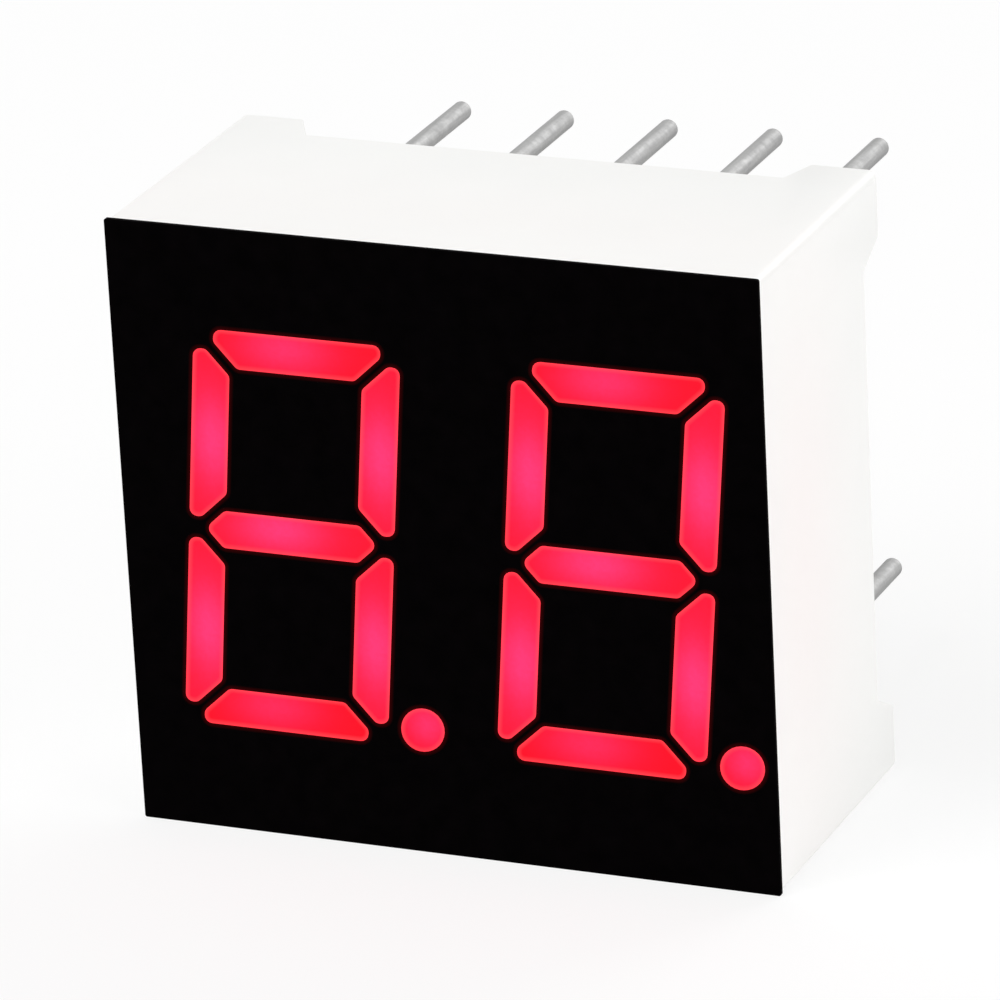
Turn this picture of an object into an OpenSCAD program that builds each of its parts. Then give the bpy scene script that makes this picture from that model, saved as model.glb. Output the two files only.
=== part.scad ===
// Two-digit seven segment LED display with decimal points, for through-hole mounting.
// It stands on its bottom side, with the digits facing -Y and the pins pointing to +Y.
// The origin is at the middle of the bottom, halfway along the whole depth with the pins.

/* [Housing] */
// Width of the housing, left to right
body_w = 15; // [14.8:0.1:18]
// Height of the housing, bottom to top
body_h = 14; // [13.2:0.1:17]
// Depth from the face to the rim, without the feet
body_d = 6.25; // [5.9:0.05:8]
// Radius on the four edges that run from front to back
edge_r = 0.2; // [0.1:0.05:0.3]
// Thickness of the wall around the open tray at the back
wall = 0.7; // [0.5:0.05:0.8]
// Thickness of the black layer on the front
film_t = 0.1; // [0.05:0.05:0.2]
// Radius at the corners of the black layer
film_r = 0.05; // [0.05:0.05:0.3]

/* [Feet] */
// Side of each square foot at the corners of the rim
foot_w = 1.5; // [1:0.05:1.6]
// Height of each foot above the rim
foot_h = 0.95; // [0.5:0.05:1.2]
// Run of the slope beside each foot
foot_slope = 0.5; // [0.1:0.05:0.8]
// Run of the slope beside the two right-hand feet, along the width
foot_slope_right = 0.3; // [0.1:0.05:1.2]

/* [Digits] */
// Height of a digit
digit_h = 9.25; // [8.6:0.05:9.6]
// Width of a digit before it is slanted
digit_w = 4.84; // [4.5:0.02:5]
// Slant of the digits to the right, in degrees
slant = 5.1; // [0:0.1:8]
// Distance between the two digits
digit_pitch = 7.4; // [7.2:0.05:7.5]
// Shift of the feet of both digits to the right of the housing's middle
digit_shift = -0.2; // [-0.4:0.01:-0.16]
// Height of the digits' middle above the housing's middle
digit_rise = 0.08; // [-0.1:0.01:0.2]
// Width of a segment
segment_w = 0.87; // [0.8:0.01:0.95]
// Gap between two segments where their ends meet
segment_gap = 0.25; // [0.2:0.01:0.35]
// Width of the flat at the pointed end of an outer segment
tip_w = 0.29; // [0.28:0.01:0.4]
// Radius on the corners of a segment
corner_r = 0.18; // [0.05:0.01:0.19]
// Diameter of a decimal point
point_d = 1.02; // [0.9:0.01:1.05]
// Gap between a decimal point and the digit beside it
point_gap = 0.3; // [0.3:0.01:0.4]

/* [Wells] */
// Depth of the straight mouth of each well
mouth_d = 1.2; // [0.5:0.1:2]
// Depth from the face to the floor, where the circuit board closes the wells
floor_d = 4.1; // [3.8:0.1:4.3]
// Length of a segment's well at the floor
floor_l = 1.5; // [1.2:0.1:2]
// Length of a decimal point's well at the floor
point_floor_l = 0.95; // [0.9:0.01:1]
// Width of every well at the floor
floor_w = 0.74; // [0.7:0.01:0.8]
// Distance that a decimal point's well leans towards its digit
point_lean = 0.5; // [0.5:0.05:0.6]

/* [Circuit board] */
// Thickness of the board
board_t = 0.8; // [0.6:0.1:1]
// Gap between the edge of the board and the tray
board_gap = 0.1; // [0.05:0.05:0.15]
// Thickness of the copper pads
pad_t = 0.04; // [0.03:0.01:0.05]
// Side of the pad under a chip
die_pad = 0.36; // [0.32:0.01:0.36]
// Side of the pad where a bond wire lands
wire_pad = 0.24; // [0.2:0.01:0.26]
// Gap between the back of the resin and the edge of the rim
resin_recess = 0.3; // [0.1:0.05:0.5]

/* [Chips and wires] */
// Side of an LED chip
die_w = 0.28; // [0.2:0.01:0.3]
// Height of an LED chip
die_h = 0.18; // [0.14:0.01:0.2]
// Distance from the middle of a chip to where its wire lands
wire_span = 0.46; // [0.44:0.01:0.48]
// Height of a wire's arch above the chip
wire_rise = 0.16; // [0.1:0.01:0.2]
// Thickness of a bond wire
wire_t = 0.03; // [0.02:0.01:0.04]

/* [Pins] */
// Diameter of a pin, with the tin on its free end
pin_d = 0.45; // [0.4:0.01:0.5]
// Thickness of the tin that the free end was dipped in
tin_t = 0.02; // [0.01:0.005:0.03]
// Length of a pin that the tin leaves bare behind the feet
bare_l = 0.2; // [0:0.1:1]
// Length of a pin behind the feet
pin_l = 6.7; // [3:0.1:8]
// Distance between neighbouring pins of a row
pin_pitch = 2.54; // [2:0.01:2.6]
// Distance between the two rows
row_pitch = 10.16; // [9:0.01:10.2]
// Pins in each row
pins_per_row = 5; // [3:1:5]
// Bevel around the cut end of a pin
pin_bevel = 0.05; // [0.02:0.01:0.1]

/* [Hidden] */
$fn = 48;
// Clearance that cast resin is given around what it was cast on
cast_gap = 0.01;
// Clearance around a pin in its hole in the board
hole_gap = 0.03;
// Fillet of solder around a pin
solder_r = 0.42;
solder_h = 0.35;
// Steps along each rounded corner, and along each bond wire
corner_steps = 4;
wire_steps = 8;
// Overlap of a cutting shape past the face that it cuts
cut = 0.01;

// Diameter of the bare wire that a pin is made of
wire_d = pin_d - 2 * tin_t;
rear_y = body_d + foot_h;
total_d = rear_y + pin_l;
board_back_y = floor_d + board_t;
resin_back_y = body_d - resin_recess;
// Middle of a chip and its wire, counted from the middle of the chip along the well
layout_middle = (wire_span + wire_pad / 2 - die_pad / 2) / 2;
digit_z = body_h / 2 + digit_rise;

LETTERS = ["a", "b", "c", "d", "e", "f", "g", "point"];
DIGITS = [["left", digit_shift - digit_pitch / 2], ["right", digit_shift + digit_pitch / 2]];
// Each well is [digit name, digit position, letter]
WELLS = [for (digit = DIGITS) for (letter = LETTERS) [digit[0], digit[1], letter]];
PIN_COUNT = 2 * pins_per_row;

function resin_name(well) = str(well[0], well[2] == "point" ? "_" : "_segment_", well[2]);
function die_name(well) = str(well[0], "_die_", well[2]);
function pin_name(i) = str("pin_", i);

// ---- Outlines of the segments, in the plane of the digit before it is slanted ----
// u runs to the right and v up from the middle of the digit, and outlines run anticlockwise.

half_w = digit_w / 2;
half_h = digit_h / 2;
column_u = half_w - segment_w / 2;
row_v = half_h - segment_w / 2;
// Half of the gap between segments, measured along u or v across the slanting joint
joint = segment_gap / sqrt(2);
// Where the joint lines beside the middle bar meet its centre line
middle_u = half_w - segment_w / 4;
// The joint at a digit's corner runs at 45 degrees through the corner of the digit
corner_offset = half_h - half_w;
point_u = half_w + point_gap + point_d / 2;

// Outline of segment a
function top_bar() =
    let (
        tip_u = half_h - tip_w - corner_offset - joint,
        root_u = half_h - segment_w - corner_offset - joint
    )
    [
        [-root_u, half_h - segment_w],
        [root_u, half_h - segment_w],
        [tip_u, half_h - tip_w],
        [tip_u, half_h],
        [-tip_u, half_h],
        [-tip_u, half_h - tip_w]
    ];

// Outline of segment b
function side_bar() =
    let (
        inner_u = half_w - segment_w,
        tip_u = half_w - tip_w
    )
    [
        [tip_u, middle_u + joint - tip_u],
        [half_w, middle_u + joint - tip_u],
        [half_w, tip_u + corner_offset - joint],
        [tip_u, tip_u + corner_offset - joint],
        [inner_u, inner_u + corner_offset - joint],
        [inner_u, middle_u + joint - inner_u]
    ];

// Outline of segment g
function middle_bar() =
    let (
        end_u = middle_u - joint,
        root_u = end_u - segment_w / 2
    )
    [
        [-root_u, -segment_w / 2],
        [root_u, -segment_w / 2],
        [end_u, 0],
        [root_u, segment_w / 2],
        [-root_u, segment_w / 2],
        [-end_u, 0]
    ];

// Mirrors an outline when su or sv is -1, and keeps it anticlockwise
function mirrored(points, su, sv) =
    let (last = len(points) - 1)
    [for (i = [0:last]) let (p = points[su * sv > 0 ? i : last - i]) [su * p[0], sv * p[1]]];

function unit(v) = v / norm(v);

// Replaces each corner of an anticlockwise convex outline by an arc of radius r
function rounded(points, r) =
    let (count = len(points))
    [
        for (i = [0:count - 1])
            let (
                corner = points[i],
                back = unit(points[(i + count - 1) % count] - corner),
                ahead = unit(points[(i + 1) % count] - corner),
                half_angle = acos(back * ahead) / 2,
                centre = corner + unit(back + ahead) * r / sin(half_angle),
                first = corner + back * r / tan(half_angle) - centre,
                start = atan2(first[1], first[0]),
                sweep = 180 - 2 * half_angle
            )
            for (k = [0:corner_steps])
                let (angle = start + sweep * k / corner_steps)
                centre + r * [cos(angle), sin(angle)]
    ];

// The round decimal point has as many outline points as a rounded segment
ring_count = 6 * (corner_steps + 1);
function round_point() =
    [
        for (i = [0:ring_count - 1])
            let (angle = 360 * i / ring_count)
            [point_u, -row_v] + point_d / 2 * [cos(angle), sin(angle)]
    ];

// Outline of a well's mouth
function mouth(letter) =
    letter == "a" ? rounded(top_bar(), corner_r)
    : letter == "b" ? rounded(side_bar(), corner_r)
    : letter == "c" ? rounded(mirrored(side_bar(), 1, -1), corner_r)
    : letter == "d" ? rounded(mirrored(top_bar(), 1, -1), corner_r)
    : letter == "e" ? rounded(mirrored(side_bar(), -1, -1), corner_r)
    : letter == "f" ? rounded(mirrored(side_bar(), -1, 1), corner_r)
    : letter == "g" ? rounded(middle_bar(), corner_r)
    : round_point();

function lies_flat(letter) = letter == "a" || letter == "d" || letter == "g";

function extent(points, axis) =
    let (values = [for (p = points) p[axis]])
    [min(values), max(values)];

// Middle of a well's mouth, and the size of its bounding box
function mouth_centre(letter) =
    [for (axis = [0, 1]) let (e = extent(mouth(letter), axis)) (e[0] + e[1]) / 2];
function mouth_size(letter) =
    [for (axis = [0, 1]) let (e = extent(mouth(letter), axis)) e[1] - e[0]];

// Middle of a well at the floor
function floor_centre(letter) =
    mouth_centre(letter) - [letter == "point" ? point_lean : 0, 0];
function floor_size(letter) =
    letter == "point" ? [floor_w, point_floor_l]
    : lies_flat(letter) ? [floor_l, floor_w]
    : [floor_w, floor_l];

// Outline of a well at the floor: its mouth, narrowed towards the chip
function floor_outline(letter) =
    let (
        from = mouth_centre(letter),
        to = floor_centre(letter),
        old = mouth_size(letter),
        new = floor_size(letter)
    )
    [
        for (p = mouth(letter))
            to + [(p[0] - from[0]) * new[0] / old[0], (p[1] - from[1]) * new[1] / old[1]]
    ];

// ---- Digit plane to part ----

// x and z of a point of a digit in its place. The slant leaves the digit's foot where it is,
// so the decimal point keeps its distance from the side of the housing.
function on_face(digit_x, p) = [digit_x + p[0] + (p[1] + row_v) * tan(slant), digit_z + p[1]];

// The part's own frame starts here: everything below is built with the face at y = 0
module in_place() {
    translate([0, -total_d / 2, 0])
        children();
}

// A solid through rings of equally many points: each ring is [y, outline in x and z]
module loft(rings) {
    count = len(rings[0][1]);
    last = len(rings) - 1;
    points = [for (ring = rings) for (p = ring[1]) [p[0], ring[0], p[1]]];
    sides = [
        for (k = [0:last - 1])
            for (i = [0:count - 1])
                let (
                    a = k * count + i,
                    b = k * count + (i + 1) % count
                )
                for (face = [[a, b, b + count], [a, b + count, a + count]])
                    face
    ];
    front_cap = [for (i = [count - 1:-1:0]) i];
    back_cap = [for (i = [0:count - 1]) last * count + i];
    polyhedron(points = points, faces = concat(sides, [front_cap, back_cap]));
}

// The space of one well, from y = front to its floor, with an overlap past the floor
module well_space(well, front, past_floor) {
    wide = [for (p = mouth(well[2])) on_face(well[1], p)];
    narrow = [for (p = floor_outline(well[2])) on_face(well[1], p)];
    rings = [[front, wide], [mouth_d, wide], [floor_d, narrow]];
    loft(past_floor > 0 ? concat(rings, [[floor_d + past_floor, narrow]]) : rings);
}

// A block with its depth along Y and the given radius on its four long edges
module rounded_block(w, h, front, back, r) {
    for (inset = [[r, 0], [0, r]])
        translate([-w / 2 + inset[0], front, inset[1]])
            cube([w - 2 * inset[0], back - front, h - 2 * inset[1]]);
    for (x = [-w / 2 + r, w / 2 - r])
        for (z = [r, h - r])
            translate([x, front, z])
                rotate([-90, 0, 0])
                    cylinder(r = r, h = back - front);
}

// The tray's outline: a rectangle without its corners, shrunk by inset on every side
module tray_block(front, back, inset) {
    for (margin = [[wall, foot_w], [foot_w, wall]])
        translate([-body_w / 2 + margin[0] + inset, front, margin[1] + inset])
            cube([
                body_w - 2 * (margin[0] + inset),
                back - front,
                body_h - 2 * (margin[1] + inset)
            ]);
}

// ---- Housing ----

// One foot in the corner of the rim, at the origin, with its slopes along +X and +Z
module foot(slope_x) {
    cube([foot_w, foot_h, foot_w]);
    linear_extrude(height = wall)
        polygon([[0, 0], [foot_w + slope_x, 0], [foot_w, foot_h], [0, foot_h]]);
    rotate([0, -90, 0])
        mirror([0, 0, 1])
            linear_extrude(height = wall)
                polygon([[0, 0], [foot_w + foot_slope, 0], [foot_w, foot_h], [0, foot_h]]);
}

module feet() {
    for (side = [[-1, foot_slope], [1, foot_slope_right]])
        for (top = [0, 1])
            translate([side[0] * body_w / 2, body_d, top * body_h])
                mirror([side[0] > 0 ? 1 : 0, 0, 0])
                    mirror([0, 0, top])
                        foot(side[1]);
}

module housing() {
    color("whitesmoke")
        in_place()
            difference() {
                intersection() {
                    union() {
                        rounded_block(body_w, body_h, film_t, body_d, edge_r);
                        feet();
                    }
                    rounded_block(body_w, body_h, 0, rear_y, edge_r);
                }
                tray_block(floor_d, rear_y + cut, 0);
                for (well = WELLS)
                    well_space(well, film_t - cut, cut);
            }
}

module face_film() {
    color([0.02, 0.02, 0.02])
        in_place()
            translate([0, film_t, 0])
                rotate([90, 0, 0])
                    linear_extrude(height = film_t)
                        difference() {
                            film_outline();
                            for (well = WELLS)
                                polygon([for (p = mouth(well[2])) on_face(well[1], p)]);
                        }
}

module film_outline() {
    for (inset = [[film_r, 0], [0, film_r]])
        translate([-body_w / 2 + inset[0], inset[1]])
            square([body_w - 2 * inset[0], body_h - 2 * inset[1]]);
    for (x = [-body_w / 2 + film_r, body_w / 2 - film_r])
        for (z = [film_r, body_h - film_r])
            translate([x, z])
                circle(r = film_r);
}

// ---- Chips, wires and the resin around them ----

// Moves to the middle of a well's floor, with X along the well and Y back to the board
module at_well_floor(well) {
    spot = on_face(well[1], floor_centre(well[2]));
    translate([spot[0], floor_d, spot[1]])
        rotate([0, lies_flat(well[2]) ? 0 : -90, 0])
            translate([-layout_middle, 0, 0])
                children();
}

// A square plate on the board, centred at x, from t forward of the board to past behind it
module plate(x, side, t, past = 0) {
    translate([x - side / 2, -t, -side / 2])
        cube([side, t + past, side]);
}

module die(well) {
    color("silver")
        in_place()
            at_well_floor(well)
                translate([0, -pad_t, 0])
                    plate(0, die_w, die_h);
}

// Height above the pads of the underside of a bond wire, at a share t of its span
function wire_height(t) = die_h * (1 - t) + wire_rise * 4 * t * (1 - t);

// Side view of a bond wire, with a flat foot at each end
module wire_profile() {
    foot = 2 * wire_t;
    under = [for (i = [0:wire_steps]) let (t = i / wire_steps) [t * wire_span, wire_height(t)]];
    over = [for (i = [wire_steps:-1:0]) under[i] + [0, wire_t]];
    polygon(concat(under, over));
    translate([-foot / 2, die_h])
        square([foot, wire_t]);
    translate([wire_span - foot / 2, 0])
        square([foot, wire_t]);
}

// Side view of the slot that a wire leaves in the resin
module slot_profile() {
    room = 2 * wire_t;
    roof = [
        for (i = [wire_steps:-1:0])
            let (t = i / wire_steps)
            [t * wire_span, wire_height(t) + wire_t + cast_gap]
    ];
    polygon(concat(
        [[-room, 0], [wire_span + room, 0], [wire_span + room, wire_t + cast_gap]],
        roof,
        [[-room, die_h + wire_t + cast_gap]]
    ));
}

// Stands a side view up in the plane along the well, with the given thickness across it
module across_well(thickness) {
    translate([0, -pad_t, -thickness / 2])
        mirror([0, 1, 0])
            linear_extrude(height = thickness)
                children();
}

module bond_wires() {
    color("gold")
        in_place()
            for (well = WELLS)
                at_well_floor(well)
                    across_well(wire_t)
                        wire_profile();
}

// What the resin of a well was cast on: pads, chip and wire
module casting_core() {
    plate(0, die_pad + 2 * cast_gap, pad_t + cast_gap, cut);
    plate(wire_span, wire_pad + 2 * cast_gap, pad_t + cast_gap, cut);
    plate(0, die_w + 2 * cast_gap, pad_t + die_h + cast_gap, cut);
    across_well(wire_t + 2 * cast_gap)
        slot_profile();
}

module well_resin(well) {
    color([0.85, 0.1, 0.2])
        in_place()
            difference() {
                well_space(well, 0, 0);
                at_well_floor(well)
                    casting_core();
            }
}

// ---- Circuit board, pins and potting ----

// Pins are counted from the lower left, along the bottom row and back along the top row,
// as seen from the face
function pin_x(i) =
    let (step = i <= pins_per_row ? i - 1 : PIN_COUNT - i)
    (step - (pins_per_row - 1) / 2) * pin_pitch;
function pin_z(i) = body_h / 2 + (i <= pins_per_row ? -1 : 1) * row_pitch / 2;

// Moves to the axis of a pin at depth y, with Z pointing to the back
module at_pin(i, y) {
    translate([pin_x(i), y, pin_z(i)])
        rotate([-90, 0, 0])
            children();
}

// Bare wire in the board and the potting, then the tinned end that goes into a hole
module pin(i) {
    tin_y = rear_y + bare_l;
    tin_l = total_d - tin_y - pin_bevel;
    color("silver")
        in_place() {
            at_pin(i, floor_d)
                cylinder(d = wire_d, h = tin_y - floor_d);
            at_pin(i, tin_y) {
                cylinder(d = pin_d, h = tin_l);
                translate([0, 0, tin_l])
                    cylinder(d1 = pin_d, d2 = pin_d - 2 * pin_bevel, h = pin_bevel);
            }
        }
}

module circuit_board() {
    color("darkseagreen")
        in_place() {
            difference() {
                tray_block(floor_d, board_back_y, board_gap);
                for (i = [1:PIN_COUNT])
                    at_pin(i, floor_d - cut)
                        cylinder(d = wire_d + 2 * hole_gap, h = board_t + 2 * cut);
            }
            for (well = WELLS)
                at_well_floor(well) {
                    plate(0, die_pad, pad_t);
                    plate(wire_span, wire_pad, pad_t);
                }
        }
}

// A fillet of solder on the back of the board, grown by a margin
module solder_cone(i, margin) {
    at_pin(i, board_back_y)
        cylinder(r1 = solder_r + margin, r2 = wire_d / 2 + hole_gap + margin, h = solder_h + margin);
}

module solder_joints() {
    color("lightgray")
        in_place()
            for (i = [1:PIN_COUNT])
                difference() {
                    solder_cone(i, 0);
                    at_pin(i, board_back_y - cut)
                        cylinder(d = wire_d, h = solder_h + 2 * cut);
                }
}

module back_potting() {
    color([0.9, 0.88, 0.84])
        in_place()
            difference() {
                tray_block(board_back_y, resin_back_y, 0);
                for (i = [1:PIN_COUNT]) {
                    at_pin(i, board_back_y - cut)
                        cylinder(d = wire_d + 2 * cast_gap, h = resin_back_y - board_back_y + 2 * cut);
                    solder_cone(i, cast_gap);
                }
            }
}

housing();
face_film();
for (well = WELLS) {
    well_resin(well);
    die(well);
}
bond_wires();
circuit_board();
solder_joints();
back_potting();
for (i = [1:PIN_COUNT])
    pin(i);
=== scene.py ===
import math

import bmesh
import bpy
from mathutils import Matrix, Vector


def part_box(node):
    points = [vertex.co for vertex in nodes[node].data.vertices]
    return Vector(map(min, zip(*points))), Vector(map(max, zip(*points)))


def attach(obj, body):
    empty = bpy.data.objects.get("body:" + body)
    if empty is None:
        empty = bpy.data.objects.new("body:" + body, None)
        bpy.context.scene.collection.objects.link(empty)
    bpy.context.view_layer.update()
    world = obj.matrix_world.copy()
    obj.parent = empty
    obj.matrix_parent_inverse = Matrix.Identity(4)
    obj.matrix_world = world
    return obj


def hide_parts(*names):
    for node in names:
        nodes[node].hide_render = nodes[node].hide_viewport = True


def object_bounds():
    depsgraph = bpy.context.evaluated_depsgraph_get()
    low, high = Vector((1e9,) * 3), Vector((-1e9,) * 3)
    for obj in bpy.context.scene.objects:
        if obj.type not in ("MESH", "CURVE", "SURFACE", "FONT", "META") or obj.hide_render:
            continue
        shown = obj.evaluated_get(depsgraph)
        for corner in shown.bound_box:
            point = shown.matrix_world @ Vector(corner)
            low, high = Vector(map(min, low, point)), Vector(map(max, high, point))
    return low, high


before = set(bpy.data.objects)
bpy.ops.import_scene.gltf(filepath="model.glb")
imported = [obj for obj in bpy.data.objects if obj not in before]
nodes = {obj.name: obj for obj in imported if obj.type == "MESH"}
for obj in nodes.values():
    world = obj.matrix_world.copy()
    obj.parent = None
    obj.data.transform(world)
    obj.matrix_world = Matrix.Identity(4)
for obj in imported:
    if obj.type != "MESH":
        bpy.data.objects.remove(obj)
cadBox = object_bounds()

mm = 0.001
hair = 0.0005 * mm  # points closer than this are one point
coplanar = math.radians(0.5)  # faces that turn by less than this are one face
crease = math.radians(32)  # shading breaks where faces turn by more than this
facing = 0.999  # the part of a normal that counts as facing straight along an axis
letters = ["a", "b", "c", "d", "e", "f", "g", "point"]
wells = [(side, letter) for side in ("left", "right") for letter in letters]
pinNodes = [name for name in nodes if name.startswith("pin_")]

# planes of the display, front to back
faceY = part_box("face_film")[0].y
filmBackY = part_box("face_film")[1].y
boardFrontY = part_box("pin_1")[0].y
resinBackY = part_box("back_potting")[1].y
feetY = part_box("housing")[1].y
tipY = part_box("pin_1")[1].y
print("frame loaded:", len(nodes), "nodes")


# helpers for materials
# in the pieces' values, a texture is its scale in lumps a mm, its detail and its roughness;
# a relief is the depth of the bumps and how strongly they show;
# a roughness in two numbers is that of the smoothest and of the roughest patches

def newMaterial(name):
    material = bpy.data.materials.new(name)
    material.use_nodes = True
    tree = material.node_tree
    return material, tree, tree.nodes["Principled BSDF"]


def setInputs(tree, node, inputs):
    for key, value in inputs.items():
        if isinstance(value, bpy.types.NodeSocket):
            tree.links.new(value, node.inputs[key])
        else:
            node.inputs[key].default_value = value


def addNode(tree, kind, inputs, **settings):
    node = tree.nodes.new(kind)
    for key, value in settings.items():
        setattr(node, key, value)
    setInputs(tree, node, inputs)
    return node


def calc(tree, operation, *values):
    return addNode(tree, "ShaderNodeMath", dict(enumerate(values)), operation=operation).outputs[0]


def millimetres(tree, centre=(0, 0, 0)):
    # object coordinates in millimetres, counted from a centre given in metres
    place = addNode(tree, "ShaderNodeTexCoord", {}).outputs["Object"]
    shift = [-value / mm for value in centre]
    inputs = {"Vector": place, "Location": shift, "Scale": (1 / mm,) * 3}
    return addNode(tree, "ShaderNodeMapping", inputs).outputs[0]


def glowAround(tree, centre, reach):
    # 1 at the centre, and about a third at the reach in mm; an axis with no reach doesn't count
    share = [1 / value if value else 0 for value in reach]
    inputs = {0: millimetres(tree, centre), 1: share}
    scaled = addNode(tree, "ShaderNodeVectorMath", inputs, operation="MULTIPLY").outputs[0]
    away = addNode(tree, "ShaderNodeVectorMath", {0: scaled}, operation="LENGTH").outputs["Value"]
    squared = calc(tree, "POWER", away, 2.0)
    return calc(tree, "EXPONENT", calc(tree, "MULTIPLY", squared, -1.0))


def noise(tree, place, texture):
    scale, detail, roughness = texture
    inputs = {"Vector": place, "Scale": scale, "Detail": detail, "Roughness": roughness}
    return addNode(tree, "ShaderNodeTexNoise", inputs).outputs[0]


def spread(tree, value, low, high, fromLow=0.3, fromHigh=0.7):
    # noise gathers round one half, so by default its middle part is spread from low to high
    inputs = {"Value": value, "From Min": fromLow, "From Max": fromHigh, "To Min": low, "To Max": high}
    return addNode(tree, "ShaderNodeMapRange", inputs).outputs[0]


def opaque(colour):
    # a plain colour gets its fourth number, and another node's output stays as it is
    return colour if isinstance(colour, bpy.types.NodeSocket) else (*colour, 1)


def blendColours(tree, factor, first, second):
    # a mix node has sockets for several kinds of value, and colours go into its seventh and eighth
    inputs = {0: factor, 6: opaque(first), 7: opaque(second)}
    return addNode(tree, "ShaderNodeMix", inputs, data_type="RGBA").outputs[2]


def bump(tree, height, relief):
    distance, strength = relief
    inputs = {"Height": height, "Distance": distance, "Strength": strength}
    return addNode(tree, "ShaderNodeBump", inputs).outputs[0]


def nearBorder(tree):
    # 1 on the border of a surface that had rings inset, falling evenly to 0 at the last ring
    return addNode(tree, "ShaderNodeAttribute", {}, attribute_name="border").outputs["Fac"]


def useMaterial(piece, material):
    piece.data.materials.clear()
    piece.data.materials.append(material)


# helpers for pieces

def newObject(name, bm, material):
    mesh = bpy.data.meshes.new(name)
    bm.to_mesh(mesh)
    bm.free()
    item = bpy.data.objects.new(name, mesh)
    bpy.context.scene.collection.objects.link(item)
    useMaterial(item, material)
    return item


def newPiece(name, bm, material, replaced):
    piece = newObject(name, bm, material)
    mesh = piece.data
    mesh.polygons.foreach_set("use_smooth", [True] * len(mesh.polygons))
    mesh.set_sharp_from_angle(angle=crease)
    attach(piece, "root")
    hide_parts(replaced)


def mergedCopy(node):
    bm = bmesh.new()
    bm.from_mesh(nodes[node].data)
    bmesh.ops.remove_doubles(bm, verts=bm.verts, dist=hair)
    bmesh.ops.dissolve_limit(bm, angle_limit=coplanar, verts=bm.verts, edges=bm.edges)
    return bm


def fromSide(vert, box):
    # distance of a point from the nearest of the four outer sides of a piece
    low, high = box
    place = vert.co
    return min(place.x - low.x, high.x - place.x, place.z - low.z, high.z - place.z)


def insetRings(bm, surface, width, depth, steps):
    # a flat surface falls steeply beside its border and levels out towards its middle
    border = bm.verts.layers.float.new("border")
    inwards = -surface[0].normal
    for vert in {vert for face in surface for vert in face.verts}:
        vert[border] = 1
    for k in range(steps):
        before, after = 1 - k / steps, 1 - (k + 1) / steps
        bmesh.ops.inset_region(
            bm, faces=surface, thickness=width / steps, depth=0, use_boundary=False, use_even_offset=True,
        )
        within = list({vert for face in surface for vert in face.verts})
        bmesh.ops.translate(bm, vec=inwards * depth * (before ** 2 - after ** 2), verts=within)
        for vert in within:
            vert[border] = after
    return border


# white housing

housing = {
    "colour": (0.93, 0.93, 0.915),
    "dull": 0.965,  # share of the colour that the dullest patches keep
    "dullShare": 0.45,
    "paintedGlow": (0.98, 0.87, 0.86),  # painted glow: the segments' red light soaking through the walls, painted into the colour of the middle of the sides
    "paintedGlowReach": (0, 2.6, 6.0),
    "paintedGlowShare": (0.45, 0.85),
    "cloud": (0.35, 3, 0.5),
    "grain": (9.0, 4, 0.6),
    "relief": (0.004 * mm, 0.5),
    "roughness": (0.32, 0.48),
    "specular": 0.27,
    "edge": 0.05 * mm,  # rounding on the feet and the rim
    "edgeSteps": 3,
    "sharp": math.radians(25),  # edges that turn by less aren't rounded
    "skin": 0.26 * mm,  # what lies no deeper than this is on the outside
}


def whitePlastic():
    material, tree, shader = newMaterial("white_plastic")
    place = millimetres(tree)
    cloud = noise(tree, place, housing["cloud"])
    grain = noise(tree, place, housing["grain"])
    # painted glow: the middle of the sides is painted pink for the segments' red light shining through
    # the walls
    middle = (0, (faceY + boardFrontY) / 2, (cadBox[0].z + cadBox[1].z) / 2)
    glow = glowAround(tree, middle, housing["paintedGlowReach"])
    paintedGlowMask = calc(tree, "MULTIPLY", glow, spread(tree, cloud, *housing["paintedGlowShare"]))
    colour = blendColours(tree, paintedGlowMask, housing["colour"], housing["paintedGlow"])
    dull = [value * housing["dull"] for value in housing["colour"]]
    setInputs(tree, shader, {
        "Base Color": blendColours(tree, spread(tree, cloud, 0, housing["dullShare"]), colour, dull),
        "Roughness": spread(tree, grain, *housing["roughness"]),
        "Specular IOR Level": housing["specular"],
        "Normal": bump(tree, grain, housing["relief"]),
    })
    return material


def makeHousing(material):
    bm = mergedCopy("housing")
    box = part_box("housing")
    skin = housing["skin"]

    def outside(vert):
        onSide = fromSide(vert, box) < skin
        return vert.co.y > filmBackY + skin and (onSide or vert.co.y > resinBackY)

    edges = []
    for edge in bm.edges:
        turned = edge.is_manifold and edge.calc_face_angle() > housing["sharp"]
        if turned and all(outside(vert) for vert in edge.verts):
            edges.append(edge)
    bmesh.ops.bevel(
        bm, geom=edges, offset=housing["edge"], offset_type="OFFSET", affect="EDGES",
        segments=housing["edgeSteps"], profile=0.5, material=-1, clamp_overlap=True,
    )
    newPiece("housing_moulding", bm, material, "housing")


makeHousing(whitePlastic())
print("housing done")


# black layer on the face

faceInk = {
    "colour": (0.0006, 0.0004, 0.0005),
    "pale": 2.2,  # how many times the colour the palest patches are
    "patches": (2.0, 3, 0.5),
    "grain": (14.0, 3, 0.65),
    "relief": (0.003 * mm, 0.6),
    "roughness": (0.5, 0.75),
    "specular": 0.006,
    "paintedHalo": (0.035, 0.0, 0.0004),  # painted glow: red light painted as a faint emission into the ink round the windows
    "haloWidth": 0.105 * mm,
    "haloSteps": 3,
    "margin": 0.12 * mm,  # what lies this near the outer edge belongs to it
}


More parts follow.
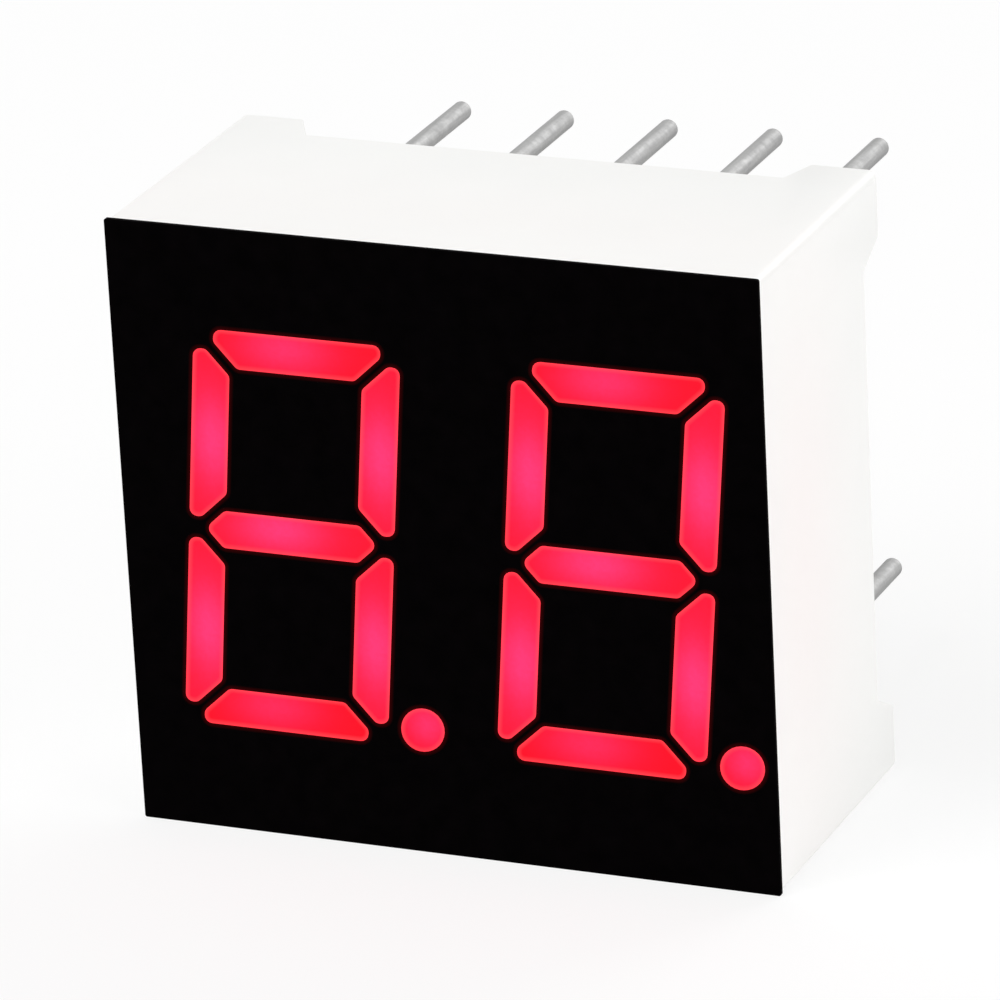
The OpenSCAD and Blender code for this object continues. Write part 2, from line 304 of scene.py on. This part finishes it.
def blackInk():
    material, tree, shader = newMaterial("black_ink")
    place = millimetres(tree)
    grain = noise(tree, place, faceInk["grain"])
    patches = spread(tree, noise(tree, place, faceInk["patches"]), 0, 1)
    pale = [value * faceInk["pale"] for value in faceInk["colour"]]
    setInputs(tree, shader, {
        "Base Color": blendColours(tree, patches, faceInk["colour"], pale),
        "Roughness": spread(tree, grain, *faceInk["roughness"]),
        "Specular IOR Level": faceInk["specular"],
        "Normal": bump(tree, grain, faceInk["relief"]),
        # painted glow: the ink beside the windows is given a faint red emission
        "Emission Color": blendColours(tree, nearBorder(tree), (0, 0, 0), faceInk["paintedHalo"]),
        "Emission Strength": 1.0,
    })
    return material


def makeFilm(material):
    bm = mergedCopy("face_film")
    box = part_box("face_film")

    def atSide(vert):
        return fromSide(vert, box) < faceInk["margin"]

    def atFront(face):
        return face.normal.y < -facing

    front = [face for face in bm.faces if atFront(face)]
    outer = []
    for edge in bm.edges:
        onBorder = sum(atFront(face) for face in edge.link_faces) == 1
        if onBorder and all(atSide(vert) for vert in edge.verts):
            outer.append(edge)
    # the outer edge is opened for a moment, so that the rings are made round the windows alone
    bmesh.ops.split_edges(bm, edges=outer)
    border = insetRings(bm, front, faceInk["haloWidth"], 0, faceInk["haloSteps"])
    bmesh.ops.remove_doubles(bm, verts=bm.verts, dist=hair)
    for vert in bm.verts:
        if atSide(vert):
            vert[border] = 0
    newPiece("printed_face", bm, material, "face_film")


makeFilm(blackInk())
print("face done")


# lit resin of the segments and points

litResin = {
    "base": (0.35, 0.001, 0.004),
    "unlit": (1.0, 0.0, 0.0),  # what the glow's colour starts from
    "hot": (1.0, 0.0425, 0.187),  # in the middle of the glow
    "kinds": {  # reach of the glow and its shift from the chip, right and up in mm, and its even share
        "flat": {"reach": (1.0, 0.5), "lean": (-0.08, 0.12), "even": 0.17},
        "upright": {"reach": (0.5, 1.0), "lean": (0.05, 0.04), "even": 0.215},
        "point": {"reach": (0.45, 0.45), "lean": (0.6, 0.32), "even": 0.215},
    },
    "kindOf": {"a": "flat", "d": "flat", "g": "flat", "point": "point"},  # the others are upright
    "bright": {"a": 0.7, "d": 0.52, "g": 0.96, "point": 0.7},  # where it isn't full
    "rim": (1.0, 0.1, 0.12),  # light thrown back by the walls of the well
    "rimWidth": 0.11 * mm,
    "rimShare": 0.5,
    "sink": 0.02 * mm,  # how far the resin shrank below the face as it set
    "steps": 3,
    "grain": (11.0, 2, 0.6),
    "speckle": (0.93, 1.07),  # the glow of the dimmest and the brightest specks
    "roughness": (0.4, 0.6),
    "specular": 0.06,
}


def glowingResin(side, letter):
    material, tree, shader = newMaterial("lit_resin_" + side + "_" + letter)
    low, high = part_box(side + "_die_" + letter)
    kind = litResin["kinds"][litResin["kindOf"].get(letter, "upright")]
    right, up = kind["lean"]
    centre = (low + high) / 2 + Vector((right, 0, up)) * mm
    reachX, reachZ = kind["reach"]
    glow = glowAround(tree, centre, (reachX, 0, reachZ))
    grain = noise(tree, millimetres(tree, centre), litResin["grain"])
    speckle = spread(tree, grain, *litResin["speckle"])
    strength = calc(tree, "MULTIPLY", spread(tree, glow, kind["even"], 1, 0, 1), speckle)
    strength = calc(tree, "MULTIPLY", strength, litResin["bright"].get(letter, 1.0))
    colour = blendColours(tree, strength, litResin["unlit"], litResin["hot"])
    rim = calc(tree, "MULTIPLY", nearBorder(tree), litResin["rimShare"])
    setInputs(tree, shader, {
        "Base Color": opaque(litResin["base"]),
        "Roughness": spread(tree, speckle, *litResin["roughness"], *litResin["speckle"]),
        "Specular IOR Level": litResin["specular"],
        "Emission Color": blendColours(tree, rim, colour, litResin["rim"]),
        "Emission Strength": 1.0,
    })
    return material


def makeCasting(side, letter):
    node = side + ("_point" if letter == "point" else "_segment_" + letter)
    bm = mergedCopy(node)
    front = [face for face in bm.faces if face.calc_center_median().y < faceY + hair]
    insetRings(bm, front, litResin["rimWidth"], litResin["sink"], litResin["steps"])
    newPiece(node + "_casting", bm, glowingResin(side, letter), node)


for side, letter in wells:
    makeCasting(side, letter)
print("lit resin done")


# board, chips, wires and solder behind the resin

board = {
    "colour": (0.07, 0.2, 0.09),
    "weave": (0.1, 0.26, 0.12),
    "threads": 14.0,  # of the glass cloth, in radians a millimetre
    "copper": (0.9, 0.62, 0.4),
    "padRise": 0.005 * mm,  # what stands out of the board by more than this is a pad
    "patches": (6.0, 2, 0.5),
    "relief": (0.004 * mm, 0.4),
    "roughness": (0.3, 0.5),
}

chip = {
    "colour": (0.75, 0.3, 0.25),
    "dark": (0.35, 0.33, 0.36),
    "grain": (40.0, 2, 0.5),
    "roughness": (0.25, 0.45),
}

bondWire = {
    "colour": (0.95, 0.7, 0.3),
    "dark": 0.9,  # share of the colour that the darkest patches keep
    "grain": (60.0, 4, 0.6),
    "relief": (0.003 * mm, 0.5),
    "roughness": (0.17, 0.33),
}

solder = {
    "colour": (0.68, 0.67, 0.65),
    "dark": 0.8,
    "grain": (12.0, 4, 0.6),
    "relief": (0.003 * mm, 0.5),
    "roughness": (0.22, 0.38),
}


def boardMaterial():
    material, tree, shader = newMaterial("board_laminate")
    place = millimetres(tree)
    along = addNode(tree, "ShaderNodeSeparateXYZ", {0: place}).outputs
    warp = calc(tree, "SINE", calc(tree, "MULTIPLY", along["X"], board["threads"]))
    weft = calc(tree, "SINE", calc(tree, "MULTIPLY", along["Z"], board["threads"]))
    weave = spread(tree, calc(tree, "MULTIPLY", warp, weft), 0, 1, -1, 1)
    green = blendColours(tree, weave, board["colour"], board["weave"])
    onPad = calc(tree, "LESS_THAN", along["Y"], (boardFrontY - board["padRise"]) / mm)
    setInputs(tree, shader, {
        "Base Color": blendColours(tree, onPad, green, board["copper"]),
        "Metallic": onPad,
        "Roughness": spread(tree, noise(tree, place, board["patches"]), *board["roughness"]),
        "Normal": bump(tree, weave, board["relief"]),
    })
    return material


def chipMaterial():
    material, tree, shader = newMaterial("chip")
    grain = noise(tree, millimetres(tree), chip["grain"])
    setInputs(tree, shader, {
        "Base Color": blendColours(tree, spread(tree, grain, 0, 1), chip["dark"], chip["colour"]),
        "Roughness": spread(tree, grain, *chip["roughness"]),
    })
    return material


def metal(name, look):
    material, tree, shader = newMaterial(name)
    grain = noise(tree, millimetres(tree), look["grain"])
    dark = [value * look["dark"] for value in look["colour"]]
    setInputs(tree, shader, {
        "Base Color": blendColours(tree, spread(tree, grain, 0, 1), dark, look["colour"]),
        "Metallic": 1.0,
        "Roughness": spread(tree, grain, *look["roughness"]),
        "Normal": bump(tree, grain, look["relief"]),
    })
    return material


useMaterial(nodes["circuit_board"], boardMaterial())
useMaterial(nodes["bond_wires"], metal("gold_wire", bondWire))
useMaterial(nodes["solder_joints"], metal("solder", solder))
chips = chipMaterial()
for side, letter in wells:
    useMaterial(nodes[side + "_die_" + letter], chips)
print("inside done")


# resin cast over the back

backResin = {
    "colour": (0.8, 0.77, 0.69),
    "deep": (0.74, 0.7, 0.6),
    "thin": (0.86, 0.84, 0.78),  # where it climbs the walls
    "creep": 0.3 * mm,  # width of the curve beside the walls and pins
    "sag": 0.07 * mm,  # depth of that curve
    "steps": 4,
    "cloud": (0.3, 3, 0.5),
    "ripple": (0.5, 2, 0.5),
    "relief": (0.03 * mm, 0.5),
    "roughness": (0.08, 0.18),
    "milk": 0.25,  # share of the light that wanders inside
    "milkReach": 0.4 * mm,
    "milkColours": (1.0, 0.8, 0.5),  # how far red, green and blue wander, as shares of that
    "shine": 0.3,
    "shineRoughness": 0.08,
}


def pottingMaterial():
    material, tree, shader = newMaterial("back_resin")
    place = millimetres(tree)
    cloud = noise(tree, place, backResin["cloud"])
    ripple = noise(tree, place, backResin["ripple"])
    colour = blendColours(tree, spread(tree, cloud, 0, 1), backResin["deep"], backResin["colour"])
    setInputs(tree, shader, {
        "Base Color": blendColours(tree, nearBorder(tree), colour, backResin["thin"]),
        "Roughness": spread(tree, ripple, *backResin["roughness"]),
        "Subsurface Weight": backResin["milk"],
        "Subsurface Radius": backResin["milkColours"],
        "Subsurface Scale": backResin["milkReach"],
        "Coat Weight": backResin["shine"],
        "Coat Roughness": backResin["shineRoughness"],
        "Normal": bump(tree, ripple, backResin["relief"]),
    })
    return material


def makePotting(material):
    bm = mergedCopy("back_potting")
    surface = [face for face in bm.faces if face.calc_center_median().y > resinBackY - hair]
    insetRings(bm, surface, backResin["creep"], backResin["sag"], backResin["steps"])
    newPiece("potting_surface", bm, material, "back_potting")


makePotting(pottingMaterial())
print("back resin done")


# pins

pins = {
    "tin": 0.02 * mm,  # thickness of the tin on the free end
    "bare": 0.2 * mm,  # bare wire between the feet and the tin
    "fade": 0.06 * mm,  # length over which the tin reaches its thickness
    "blur": 0.05 * mm,  # how far the tin's colour runs to each side of its start
    "nose": 0.06 * mm,  # rounding at the cut end
    "noseSteps": 5,
    "around": 40,
    "colour": (0.56, 0.56, 0.555),
    "dark": (0.38, 0.38, 0.38),
    "darkLines": 0.6,  # share of the dark colour in the darkest lines
    "darkBlotch": 0.5,
    "grazing": (0.15, 0.15, 0.16),  # colour of the metal where it turns away
    "wire": (0.43, 0.4, 0.37),
    "cut": (0.25, 0.24, 0.23),  # bare metal of the cut end, painted much darker as painted shade round the rounded tip
    "drawn": 0.06,  # how fast the lines change along the pin, against across it
    "lines": (14.0, 3, 0.6),
    "blotch": (5.0, 4, 0.65),
    "blotchHeight": 1.5,  # against that of the lines
    "relief": (0.01 * mm, 0.7),
    "roughness": (0.54, 0.72),
}
tinY = feetY + pins["bare"]


def tinnedWire():
    material, tree, shader = newMaterial("tinned_wire")
    place = millimetres(tree)
    stretch = {"Vector": place, "Scale": (1, pins["drawn"], 1)}
    drawn = addNode(tree, "ShaderNodeMapping", stretch).outputs[0]
    lines = noise(tree, drawn, pins["lines"])
    blotch = noise(tree, place, pins["blotch"])
    colour = blendColours(tree, spread(tree, lines, 0, pins["darkLines"]), pins["colour"], pins["dark"])
    colour = blendColours(tree, spread(tree, blotch, 0, pins["darkBlotch"]), colour, pins["dark"])
    along = addNode(tree, "ShaderNodeSeparateXYZ", {0: place}).outputs["Y"]
    onTin = spread(tree, along, 0, 1, (tinY - pins["blur"]) / mm, (tinY + pins["blur"]) / mm)
    onCutAndShade = spread(tree, along, 0, 1, (tipY - pins["nose"]) / mm, tipY / mm)
    colour = blendColours(tree, onTin, pins["wire"], colour)
    uneven = calc(tree, "ADD", lines, calc(tree, "MULTIPLY", blotch, pins["blotchHeight"]))
    setInputs(tree, shader, {
        # painted shade: the rounded tip is painted dark, partly the bare metal of the cut end
        "Base Color": blendColours(tree, onCutAndShade, colour, pins["cut"]),
        "Metallic": 1.0,
        "Specular Tint": opaque(pins["grazing"]),
        "Roughness": spread(tree, blotch, *pins["roughness"]),
        "Normal": bump(tree, uneven, pins["relief"]),
    })
    return material


def makePin(node, material):
    low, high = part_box(node)
    axis = Vector(((low.x + high.x) / 2, 0, (low.z + high.z) / 2))
    thick = (high.x - low.x) / 2
    wire = thick - pins["tin"]
    nose = pins["nose"]
    outline = [(0, low.y), (wire, low.y), (wire, tinY), (thick, tinY + pins["fade"])]
    for k in range(pins["noseSteps"] + 1):
        turn = math.radians(90 * k / pins["noseSteps"])
        outline.append((thick - nose + nose * math.cos(turn), high.y - nose + nose * math.sin(turn)))
    outline.append((0, high.y))
    bm = bmesh.new()
    verts = [bm.verts.new(axis + Vector((r, y, 0))) for r, y in outline]
    edges = [bm.edges.new(pair) for pair in zip(verts, verts[1:])]
    bmesh.ops.spin(
        bm, geom=verts + edges, cent=axis, axis=(0, 1, 0), dvec=(0, 0, 0), angle=math.tau,
        steps=pins["around"], space=Matrix(), use_merge=True, use_normal_flip=False, use_duplicate=False,
    )
    bmesh.ops.remove_doubles(bm, verts=bm.verts, dist=hair)
    bmesh.ops.recalc_face_normals(bm, faces=bm.faces)
    newPiece(node + "_wire", bm, material, node)


tinned = tinnedWire()
for name in pinNodes:
    makePin(name, tinned)
print("pins done")


# floor, light and camera

stage = {
    "floor": (0.97, 0.97, 0.97),
    "floorSize": 2.0,
    "floorRoughness": 0.9,
    "floorWhite": 0.75,  # share of plain white that the camera sees in the floor
    "world": 0.5,  # light from all round, where 1 is the white that the camera sees
    "lamps": {  # place in metres, side of the square soft box, power in watts
        "key": ((-0.2, -0.28, 0.38), 0.3, 1.185),
        "right": ((0.42, -0.16, 0.2), 0.3, 0.63),
        "back": ((0.17, 0.4, 0.22), 0.25, 0.6),
    },
    "lampTarget": (0, -2 * mm, 7 * mm),
}


def seenRay(tree):
    # 1 for what is seen directly, in a gloss or through something clear, and 0 for what lights
    path = addNode(tree, "ShaderNodeLightPath", {}).outputs
    seen = calc(tree, "MAXIMUM", path["Is Camera Ray"], path["Is Glossy Ray"])
    return calc(tree, "MAXIMUM", seen, path["Is Transmission Ray"])


def paleFloor():
    material, tree, shader = newMaterial("pale_floor")
    setInputs(tree, shader, {
        "Base Color": opaque(stage["floor"]),
        "Roughness": stage["floorRoughness"],
        "Specular IOR Level": 0.0,
    })
    white = addNode(tree, "ShaderNodeEmission", {"Color": (1, 1, 1, 1), "Strength": 1.0})
    share = calc(tree, "MULTIPLY", seenRay(tree), stage["floorWhite"])
    mixed = addNode(tree, "ShaderNodeMixShader", {0: share, 1: shader.outputs[0], 2: white.outputs[0]})
    setInputs(tree, tree.nodes["Material Output"], {"Surface": mixed.outputs[0]})
    return material


def makeFloor(material):
    bm = bmesh.new()
    bmesh.ops.create_grid(bm, x_segments=1, y_segments=1, size=stage["floorSize"] / 2)
    floor = newObject("floor", bm, material)


def makeWorld():
    world = bpy.data.worlds.new("studio")
    bpy.context.scene.world = world
    world.use_nodes = True
    tree = world.node_tree
    setInputs(tree, tree.nodes["Background"], {
        "Color": (1, 1, 1, 1),
        "Strength": spread(tree, seenRay(tree), stage["world"], 1, 0, 1),
    })


def areaLamp(name, place, size, power):
    data = bpy.data.lights.new(name, "AREA")
    data.shape = "SQUARE"
    data.size = size
    data.energy = power
    lamp = bpy.data.objects.new(name, data)
    bpy.context.scene.collection.objects.link(lamp)
    lamp.location = place
    lamp.rotation_mode = "QUATERNION"
    lamp.rotation_quaternion = (Vector(stage["lampTarget"]) - Vector(place)).to_track_quat("-Z", "Y")


view = {
    "azimuth": 23.629,  # degrees to the right of straight in front
    "elevation": 21.409,
    "roll": 2.939,
    "distance": 172.086 * mm,
    "target": (-0.23 * mm, -3.167 * mm, 6.845 * mm),
    "lens": 283.85,  # in mm, like the width of the sensor
    "sensor": 36,
    "nearest": 0.01,  # what the camera sees lies between these, in metres
    "farthest": 10,
}


def makeCamera():
    data = bpy.data.cameras.new("camera")
    data.lens = view["lens"]
    data.sensor_width = view["sensor"]
    data.clip_start = view["nearest"]
    data.clip_end = view["farthest"]
    camera = bpy.data.objects.new("camera", data)
    bpy.context.scene.collection.objects.link(camera)
    azimuth = math.radians(view["azimuth"])
    elevation = math.radians(view["elevation"])
    back = Vector((
        math.sin(azimuth) * math.cos(elevation),
        -math.cos(azimuth) * math.cos(elevation),
        math.sin(elevation),
    ))
    camera.location = Vector(view["target"]) + back * view["distance"]
    camera.rotation_mode = "QUATERNION"
    upright = (-back).to_track_quat("-Z", "Y")
    roll = Matrix.Rotation(-math.radians(view["roll"]), 4, "Z").to_quaternion()
    camera.rotation_quaternion = upright @ roll
    bpy.context.scene.camera = camera


makeFloor(paleFloor())
makeWorld()
for name, (place, size, power) in stage["lamps"].items():
    areaLamp(name, place, size, power)
makeCamera()
bpy.context.scene.view_settings.view_transform = "Standard"
print("stage done")
